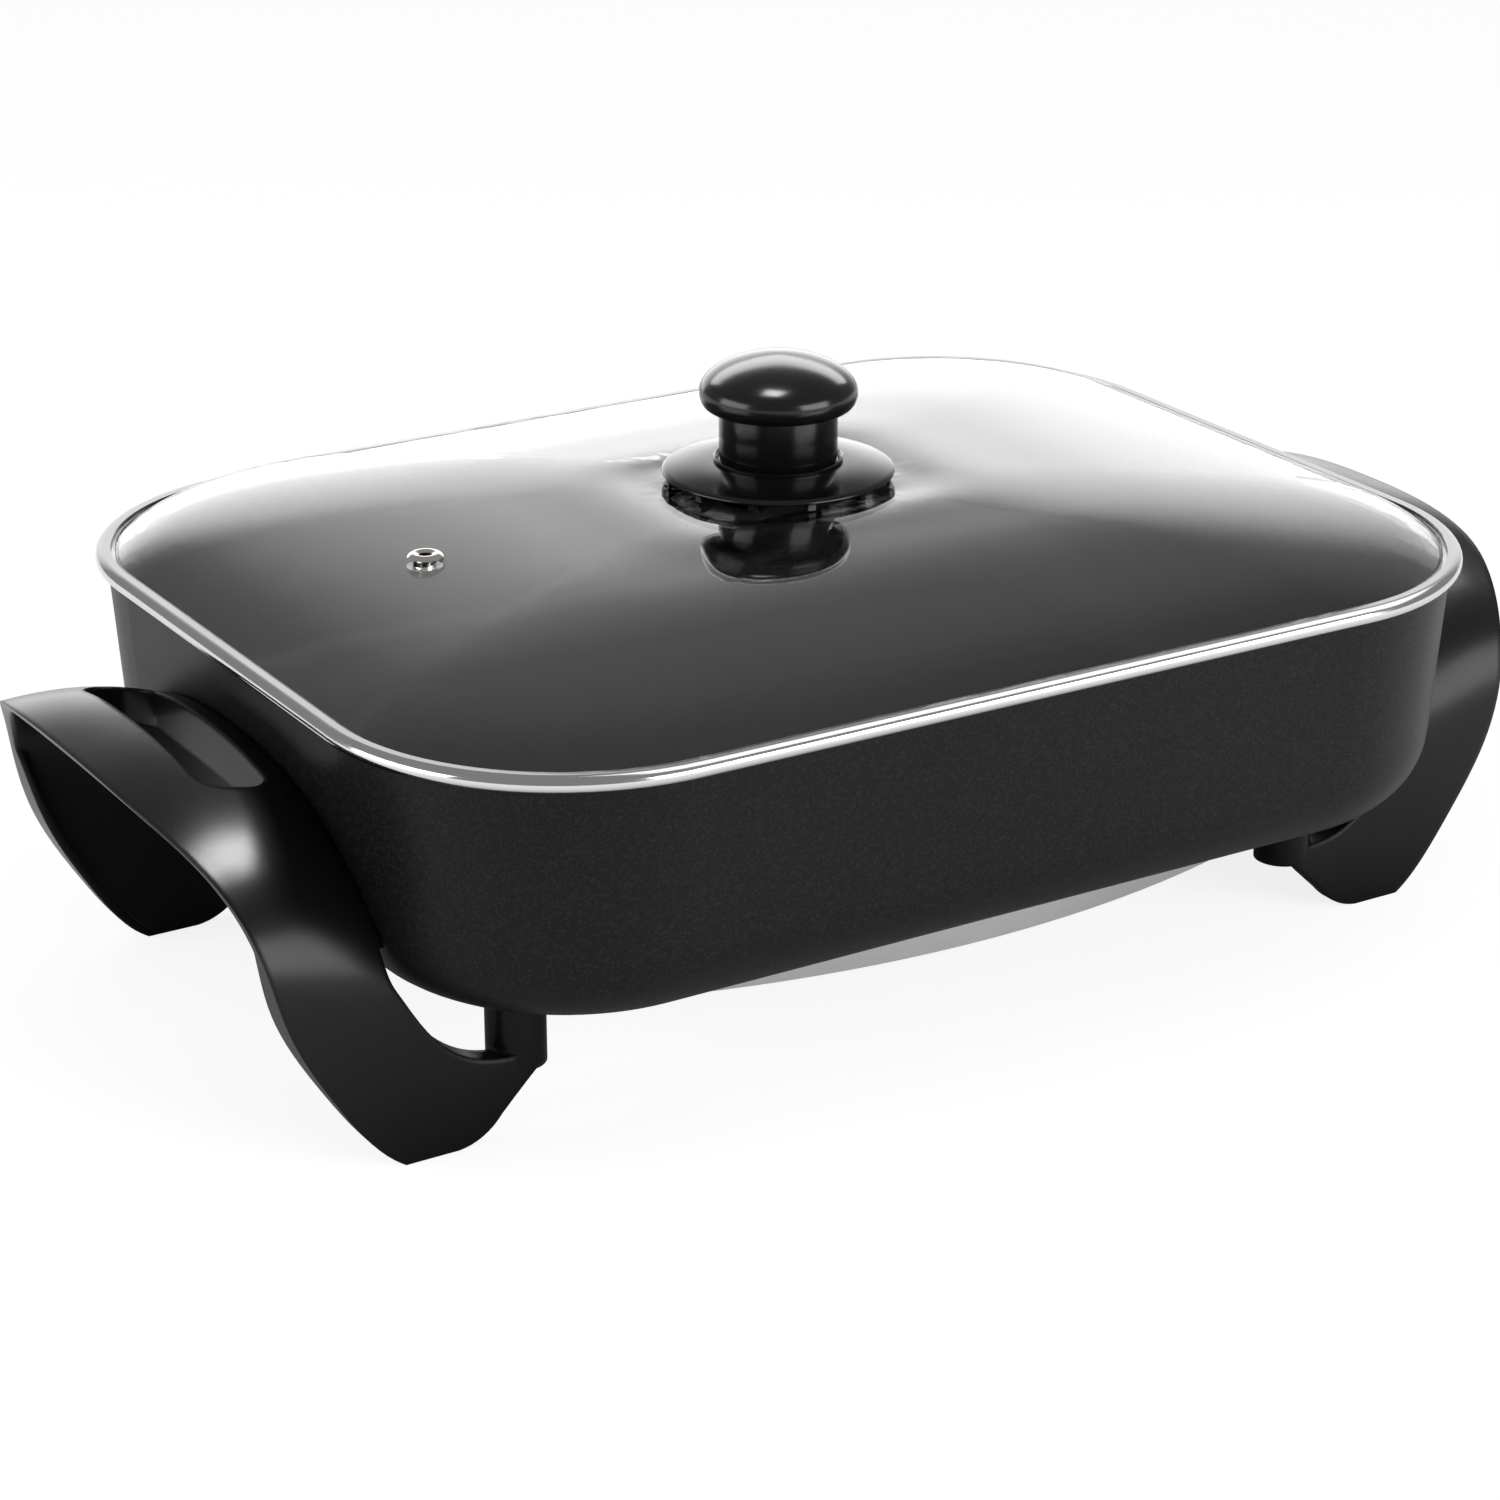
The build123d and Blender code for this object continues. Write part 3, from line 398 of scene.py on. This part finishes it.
def turned(name, outline, node, finish):
    """A closed outline of (radius, height) that goes once round, in place of a CAD node of the lid."""
    count = len(outline)
    corners = [
        (radius * math.cos(angle), radius * math.sin(angle), height)
        for angle in [2 * math.pi * turn / around for turn in range(around)]
        for radius, height in outline
    ]
    walls = []
    for turn in range(around):
        here, there = turn * count, (turn + 1) % around * count
        for step in range(count):
            after = (step + 1) % count
            walls.append((here + step, here + after, there + after, there + step))
    shape = bmesh.new()
    made = [shape.verts.new(corner) for corner in corners]
    for wall in walls:
        shape.faces.new([made[corner] for corner in wall])
    bmesh.ops.remove_doubles(shape, verts=shape.verts, dist=same_spot)
    bmesh.ops.dissolve_degenerate(shape, edges=shape.edges, dist=no_length)
    bmesh.ops.recalc_face_normals(shape, faces=shape.faces)
    mesh = bpy.data.meshes.new(name)
    shape.to_mesh(mesh)
    shape.free()
    mesh.shade_smooth()
    mesh.set_sharp_from_angle(angle=crisp_from)
    mesh.materials.append(finish)
    piece = bpy.data.objects.new(name, mesh)
    bpy.context.scene.collection.objects.link(piece)
    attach(piece, lid_body)
    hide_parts(node)
    return piece


print("the lathe takes", around, "steps to go round")

# %% [markdown]
# The cap's upper side is domed, and its lower side turns in quickly to the neck.
# Its radius and the neck's foot come from the CAD knob's own box.
# A bevel at the foot lets the neck sit inside the collar of the skirt.

# %% Turned knob
knob_low, knob_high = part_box("knob")
cap_radius = knob_high[0]
neck_radius = 0.0195
neck_foot = knob_low[2]
widest = neck_foot + 0.0246
dome_rise = 0.0129
under_drop = 0.0056
bevel_high = 0.003
bevel_deep = 0.0019
dome = squared_arc(cap_radius, dome_rise, side_power=1.736, top_power=2.056, steps=28)
under = squared_arc(cap_radius - neck_radius, under_drop, side_power=3.244, top_power=2.135, steps=16)
cap_outline = [(radius, widest + rise) for radius, rise in reversed(dome)]
cap_outline += [(neck_radius + inset, widest - drop) for inset, drop in under[1:]]
cap_outline += [(neck_radius, neck_foot + bevel_high), (neck_radius - bevel_deep, neck_foot)]
cap_outline.append((0.0, neck_foot))
turned_knob = turned("turned_knob", cap_outline, "knob", knob_plastic)
print("knob:", len(turned_knob.data.polygons), "faces, widest at", round(widest, 4), "m")

# %% [markdown]
# The skirt is a shallow dish turned upside down: nearly level at the neck and steeper towards its rim.
# So its far side mirrors the bright screen and its near side the dark ceiling.
# A flared collar stands on it round the neck, and a hub below it rests on the gasket.

# %% Turned skirt
skirt_low, skirt_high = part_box("knob_skirt")
skirt_radius = skirt_high[0]
glass_crown = neck_foot - 0.0046
rim_top = glass_crown + 0.0034
rim_round = 0.0007
rim_steps = 8
dish_start = 0.0192
dish_rise = 0.0028
dish_steps = 20
bore = 0.0035
hub = 0.014
wall = 0.0016
dish = []
for step in range(dish_steps + 1):
    radius = dish_start + (skirt_radius - rim_round - dish_start) * step / dish_steps
    share = (radius - dish_start) / (skirt_radius - dish_start)
    dish.append((radius, rim_top + dish_rise * (1 - share**2)))
rim_turns = [math.pi * step / rim_steps for step in range(1, rim_steps + 1)]
rim_radii = [skirt_radius - rim_round + rim_round * math.sin(turn) for turn in rim_turns]
rim_heights = [rim_top - rim_round + rim_round * math.cos(turn) for turn in rim_turns]
rim = list(zip(rim_radii, rim_heights))
underside = [(radius, height - wall) for radius, height in reversed(dish[:-1])]
collar = [
    (bore, neck_foot),
    (0.0181, neck_foot),
    (0.0203, skirt_high[2] - 0.0005),
    (0.0209, skirt_high[2]),
    (0.0214, skirt_high[2] - 0.0003),
    (0.0213, skirt_high[2] - 0.0011),
    (0.0198, skirt_high[2] - 0.0018),
]
foot = [(hub, underside[-1][1]), (hub, skirt_low[2]), (bore, skirt_low[2])]
turned_skirt = turned("turned_skirt", collar + dish + rim + underside + foot, "knob_skirt", knob_plastic)
print("skirt:", len(turned_skirt.data.polygons), "faces, rim at", round(rim_top, 4), "m")

# %% [markdown]
# Short ribs stand under the rim, like spokes, and stop it from tilting onto the hot glass.
# They are part of the same moulding, so they are added to the skirt's own mesh.

# %% Ribs under the skirt
rib_count = 12
rib_length = 0.006
rib_width = 0.0024
rib_height = 0.0018
rib_inner = skirt_radius - rim_round - rib_length
rib_middle = rim_top - 2.2 * rim_round - rib_height / 2
ribs = bmesh.new()
ribs.from_mesh(turned_skirt.data)
for number in range(rib_count):
    turn = 2 * math.pi * (number + 0.5) / rib_count
    block = bmesh.ops.create_cube(ribs, size=1.0)["verts"]
    for corner in block:
        along = rib_inner + rib_length * (corner.co.x + 0.5)
        across = rib_width * corner.co.y
        corner.co = (
            along * math.cos(turn) - across * math.sin(turn),
            along * math.sin(turn) + across * math.cos(turn),
            rib_middle + rib_height * corner.co.z,
        )
ribs.to_mesh(turned_skirt.data)
ribs.free()
print("skirt with", rib_count, "ribs:", len(turned_skirt.data.polygons), "faces")

# %% [markdown]
# ## Which piece gets which finish
#
# Each CAD piece keeps its own shape and takes a finish in all of its slots.
# The CAD knob and skirt have given way to the turned ones, and are dressed all the same.
# One table says it for the whole appliance, in the order in which a fitter would put it together.

# %% Dress the CAD pieces
finishes = {
    "pan_body": coating,
    "heat_plate": aluminium,
    "heating_element": sheath,
    "thermostat_well": aluminium,
    "terminal_pins": nickel,
    "pin_insulators": ceramic,
    "terminal_guard": zinc,
    "guard_screws": zinc,
    "left_handle": handle_plastic,
    "right_handle": handle_plastic,
    "handle_screws": zinc,
    "handle_washers": zinc,
    "lid_glass": glass,
    "lid_band": stainless,
    "vent_eyelet": nickel,
    "knob": knob_plastic,
    "knob_skirt": knob_plastic,
    "knob_insert": brass,
    "upper_gasket": silicone,
    "lower_gasket": silicone,
    "knob_washer": stainless,
    "knob_screw": zinc,
}
for piece_name, finish in finishes.items():
    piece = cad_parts[piece_name]
    if not piece.material_slots:
        piece.data.materials.append(finish)
    for held in piece.material_slots:
        held.material = finish
print("dressed:", len(finishes), "of", len(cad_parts), "pieces")

# %% [markdown]
# ## The table and the room
#
# The skillet stands on a white sweep, so the floor and the room are the same white to the camera.
# The sweep is one flat sheet, wide enough that its edges never show.

# %% White floor
reach = 6.0


def flat_sheet(name, corners):
    """A single face with four corners, placed in the scene."""
    mesh = bpy.data.meshes.new(name)
    mesh.from_pydata(corners, [], [(0, 1, 2, 3)])
    sheet = bpy.data.objects.new(name, mesh)
    bpy.context.scene.collection.objects.link(sheet)
    return sheet


def start_stage_finish(name, sheet):
    """A new material without a Principled shader, given to a sheet: returns its node tree."""
    finish = bpy.data.materials.new(name)
    finish.use_nodes = True
    finish.node_tree.nodes.remove(finish.node_tree.nodes["Principled BSDF"])
    sheet.data.materials.append(finish)
    return finish.node_tree


floor_corners = [(-reach, -reach, 0.0), (reach, -reach, 0.0), (reach, reach, 0.0), (-reach, reach, 0.0)]
floor = flat_sheet("white_floor", floor_corners)
print("floor:", 2 * reach, "m square")

# %% [markdown]
# Light Path tells a material what kind of ray is asking.
# The camera sees the sweep as white, straight or through glass, and the lamps still draw a shadow on it.
# Glossy pieces mirror that white too, but less of it where the skillet shuts the light out.
# An Ambient Occlusion node finds that shade, and squaring it makes it deeper.

# %% White sweep
tree = start_stage_finish("white_sweep", floor)
paper = add_node(tree, "ShaderNodeBsdfDiffuse", {"Color": (0.4, 0.4, 0.4, 1.0)})
white = add_node(tree, "ShaderNodeEmission", {"Strength": 0.82})
ray = add_node(tree, "ShaderNodeLightPath")
under = add_node(tree, "ShaderNodeAmbientOcclusion", {"Distance": 0.6}, samples=8)
shade = add_node(tree, "ShaderNodeMath", {1: 2.0}, operation="POWER")
shaded = add_node(tree, "ShaderNodeMath", operation="MULTIPLY")
camera_or_glossy = add_node(tree, "ShaderNodeMath", operation="MAXIMUM")
seen = add_node(tree, "ShaderNodeMath", operation="MAXIMUM")
dark = add_node(tree, "ShaderNodeEmission", {"Strength": 0.0})
shown_white = add_node(tree, "ShaderNodeMixShader")
both = add_node(tree, "ShaderNodeAddShader")
tree.links.new(ray.outputs["Is Camera Ray"], camera_or_glossy.inputs[0])
tree.links.new(ray.outputs["Is Glossy Ray"], shaded.inputs[0])
tree.links.new(under.outputs["AO"], shade.inputs[0])
tree.links.new(shade.outputs[0], shaded.inputs[1])
tree.links.new(shaded.outputs[0], camera_or_glossy.inputs[1])
tree.links.new(camera_or_glossy.outputs[0], seen.inputs[0])
tree.links.new(ray.outputs["Is Transmission Ray"], seen.inputs[1])
tree.links.new(seen.outputs[0], shown_white.inputs["Fac"])
tree.links.new(dark.outputs[0], shown_white.inputs[1])
tree.links.new(white.outputs[0], shown_white.inputs[2])
tree.links.new(shown_white.outputs[0], both.inputs[0])
tree.links.new(paper.outputs[0], both.inputs[1])
tree.links.new(both.outputs[0], tree.nodes["Material Output"].inputs["Surface"])
print("sweep:", len(tree.nodes), "nodes")

# %% [markdown]
# A studio keeps its ceiling dark and its back wall bright, so that gloss fades from white to black.
# The world does the same: gloss mirrors white near the horizon behind the table, and a dim room elsewhere.
# The height comes from the direction of the ray, and a ramp turns it into brightness.
# A dot product with the direction of the back wall keeps that brightness on one side.

# %% What the room looks like in a mirror
room = bpy.data.worlds.new("studio_room")
bpy.context.scene.world = room
room.use_nodes = True
tree = room.node_tree
direction = add_node(tree, "ShaderNodeTexCoord")
split = add_node(tree, "ShaderNodeSeparateXYZ")
fade = add_node(tree, "ShaderNodeValToRGB")
fade.color_ramp.interpolation = "EASE"
fade.color_ramp.elements[0].position = 0.3
fade.color_ramp.elements[0].color = (1.0, 1.0, 1.0, 1.0)
fade.color_ramp.elements[1].position = 0.56
fade.color_ramp.elements[1].color = (0.26, 0.26, 0.26, 1.0)
back_wall = (0.5, 0.866, 0.0)
behind = add_node(tree, "ShaderNodeVectorMath", {1: back_wall}, operation="DOT_PRODUCT")
backward = add_node(
    tree, "ShaderNodeMapRange", {"From Min": 0.7, "From Max": 0.92}, interpolation_type="SMOOTHSTEP"
)
mirror_room = add_node(tree, "ShaderNodeMix", data_type="RGBA")
mirror_room.inputs["A"].default_value = (0.28, 0.28, 0.28, 1.0)
tree.links.new(direction.outputs["Generated"], split.inputs["Vector"])
tree.links.new(split.outputs["Z"], fade.inputs["Fac"])
tree.links.new(direction.outputs["Generated"], behind.inputs[0])
tree.links.new(behind.outputs["Value"], backward.inputs["Value"])
tree.links.new(backward.outputs["Result"], mirror_room.inputs["Factor"])
tree.links.new(fade.outputs["Color"], mirror_room.inputs["B"])
print("room in a mirror:", len(tree.nodes), "nodes")

# %% [markdown]
# Three kinds of ray ask the room for its colour.
# The camera sees plain white, straight or through glass, and dull surfaces are lit by an even grey.
# A ray that a glossy piece has mirrored meets the room above.
# Where it then leaves through the lid's glass, it would count as straight and see the plain white.
# Its glossy depth tells the two apart, and takes most of that white off again.

# %% Who sees what of the room
ray = add_node(tree, "ShaderNodeLightPath")
straight = add_node(tree, "ShaderNodeMath", operation="SUBTRACT", use_clamp=True)
dimmed = add_node(tree, "ShaderNodeMath", {1: 0.7}, operation="MULTIPLY")
see_white = add_node(tree, "ShaderNodeMath", operation="MAXIMUM")
mirrored = add_node(tree, "ShaderNodeMath", {1: 1.0}, operation="MINIMUM")
unlit_room = add_node(tree, "ShaderNodeMix", data_type="RGBA")
unlit_room.inputs["A"].default_value = (0.35, 0.35, 0.35, 1.0)
seen_colour = add_node(tree, "ShaderNodeMix", data_type="RGBA")
seen_colour.inputs["B"].default_value = (1.0, 1.0, 1.0, 1.0)
tree.links.new(ray.outputs["Glossy Depth"], mirrored.inputs[0])
tree.links.new(mirrored.outputs[0], unlit_room.inputs["Factor"])
tree.links.new(mirror_room.outputs["Result"], unlit_room.inputs["B"])
tree.links.new(ray.outputs["Is Camera Ray"], see_white.inputs[0])
tree.links.new(ray.outputs["Is Transmission Ray"], straight.inputs[0])
tree.links.new(mirrored.outputs[0], dimmed.inputs[0])
tree.links.new(dimmed.outputs[0], straight.inputs[1])
tree.links.new(straight.outputs[0], see_white.inputs[1])
tree.links.new(see_white.outputs[0], seen_colour.inputs["Factor"])
tree.links.new(unlit_room.outputs["Result"], seen_colour.inputs["A"])
tree.links.new(seen_colour.outputs["Result"], tree.nodes["Background"].inputs["Color"])
print("room:", len(tree.nodes), "nodes")

# %% [markdown]
# ## The lit screen
#
# Behind the table stands a wide lit screen.
# The lid's glass mirrors it at a shallow angle: its far half turns white, while its near half stays clear.
# The polished band would turn wholly white in it, so light linking leaves the band out.

# %% Lit screen
screen_away = 2.2
screen_turn = math.radians(60.0)
screen_half = 1.9
screen_top = 1.6
out_x, out_y = math.cos(screen_turn), math.sin(screen_turn)
left_end, right_end = [
    (screen_away * out_x + side * screen_half * out_y, screen_away * out_y - side * screen_half * out_x)
    for side in (-1, 1)
]
screen_corners = [(*left_end, 0.0), (*right_end, 0.0), (*right_end, screen_top), (*left_end, screen_top)]
screen = flat_sheet("lit_screen", screen_corners)
screen.visible_camera = False
screen.visible_transmission = False
screen_lights = bpy.data.collections.new("lit_by_screen")
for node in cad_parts:
    if node != "lid_band":
        screen_lights.objects.link(bpy.data.objects[node])
for piece in (turned_knob, turned_skirt):
    screen_lights.objects.link(piece)
screen.light_linking.receiver_collection = screen_lights
print("screen:", 2 * screen_half, "m wide,", screen_away, "m away")

# %% [markdown]
# The screen is brightest at table height and fades out above, and again towards its right end.
# So the white in the glass has no hard edge, and the glass stays clear over the pan's right corner.
# An Emission and a Transparent shader are added together, so the screen only adds light and hides nothing.

# %% Screen glow
tree = start_stage_finish("screen_glow", screen)
place = add_node(tree, "ShaderNodeTexCoord")
level = add_node(tree, "ShaderNodeSeparateXYZ")
full_glow = 1.7
upward = {"From Min": 0.45, "From Max": 1.4, "To Min": full_glow, "To Max": 0.0}
rightward = {"From Min": 2.15, "From Max": 1.45, "To Min": 0.0, "To Max": 1.0}
fall = add_node(tree, "ShaderNodeMapRange", upward, interpolation_type="SMOOTHSTEP")
ends = add_node(tree, "ShaderNodeMapRange", rightward, interpolation_type="SMOOTHSTEP")
lit = add_node(tree, "ShaderNodeMath", operation="MULTIPLY")
glow = add_node(tree, "ShaderNodeEmission")
clear = add_node(tree, "ShaderNodeBsdfTransparent")
added = add_node(tree, "ShaderNodeAddShader")
tree.links.new(place.outputs["Object"], level.inputs["Vector"])
tree.links.new(level.outputs["Z"], fall.inputs["Value"])
tree.links.new(level.outputs["X"], ends.inputs["Value"])
tree.links.new(fall.outputs["Result"], lit.inputs[0])
tree.links.new(ends.outputs["Result"], lit.inputs[1])
tree.links.new(lit.outputs[0], glow.inputs["Strength"])
tree.links.new(glow.outputs[0], added.inputs[0])
tree.links.new(clear.outputs[0], added.inputs[1])
tree.links.new(added.outputs[0], tree.nodes["Material Output"].inputs["Surface"])
print("screen glow:", len(tree.nodes), "nodes")

# %% [markdown]
# ## Lamps
#
# Lamps are soft boxes: flat rectangles of light, which black gloss mirrors as soft-edged patches.
# Each is aimed by turning its -Z axis towards the middle of the pan.
# A lamp that is meant for one piece gets a collection of receivers, and leaves the other pieces alone.

# %% Soft box
aim = Vector((0.0, 0.0, 0.11))


def soft_box(name, where, wide, high, watts, only=()):
    """An area lamp that faces the pan: it lights only the named pieces, or all where none is named."""
    lamp = bpy.data.lights.new(name, "AREA")
    lamp.shape = "RECTANGLE"
    lamp.size = wide
    lamp.size_y = high
    lamp.energy = watts
    box = bpy.data.objects.new(name, lamp)
    bpy.context.scene.collection.objects.link(box)
    box.location = where
    box.rotation_euler = (aim - Vector(where)).to_track_quat("-Z", "Y").to_euler()
    if only:
        lit_pieces = bpy.data.collections.new(f"lit_by_{name}")
        for piece in only:
            lit_pieces.objects.link(bpy.data.objects[piece])
        box.light_linking.receiver_collection = lit_pieces
    return box


print("lamps look at", tuple(round(number, 3) for number in aim))

# %% [markdown]
# Two wide soft boxes light everything, one before the long side and one at the left end.
# They are what the knob's neck and the legs mirror.
# The other four each light one kind of piece.
# One hangs high on the right for the arches of the handles, and one over the pan for the spot on the cap.
# A long one behind brightens the top of the cap, and a wide one shows as the bright near side of the band.

# %% Lamps
soft_box("front_soft_box", (0.58, -1.44, 0.45), wide=1.2, high=0.75, watts=15.5)
soft_box("left_soft_box", (-1.53, 0.24, 0.45), wide=1.3, high=0.7, watts=11.4)
arches = ["left_handle", "right_handle"]
soft_box("arch_lamp", (0.607, 0.048, 1.577), wide=0.6, high=0.6, watts=38.0, only=arches)
soft_box("knob_lamp", (-0.217, -0.15, 1.57), wide=0.42, high=0.42, watts=12.0, only=["turned_knob"])
soft_box("knob_back_lamp", (0.631, 1.071, 1.04), wide=2.5, high=0.5, watts=24.0, only=["turned_knob"])
soft_box("band_lamp", (1.0, -0.06, 1.62), wide=1.6, high=1.6, watts=10.0, only=["lid_band"])

# %% [markdown]
# ## The camera
#
# The view is from the front left corner, looking down by 22 degrees, through a short telephoto lens.
# A long lens from further away keeps the pan's sides nearly parallel, which shows its proportions well.

# %% Camera
look_down = 21.961
look_right = 31.504
lens_data = bpy.data.cameras.new("catalogue_camera")
lens_data.lens = 93.87
lens_data.sensor_width = 36.0
camera = bpy.data.objects.new("catalogue_camera", lens_data)
bpy.context.scene.collection.objects.link(camera)
camera.location = (-0.6485, -1.0404, 0.5544)
camera.rotation_euler = (math.radians(90.0 - look_down), 0.0, math.radians(-look_right))
bpy.context.scene.camera = camera
bpy.context.scene.view_settings.view_transform = "Standard"
print("camera at", tuple(camera.location))
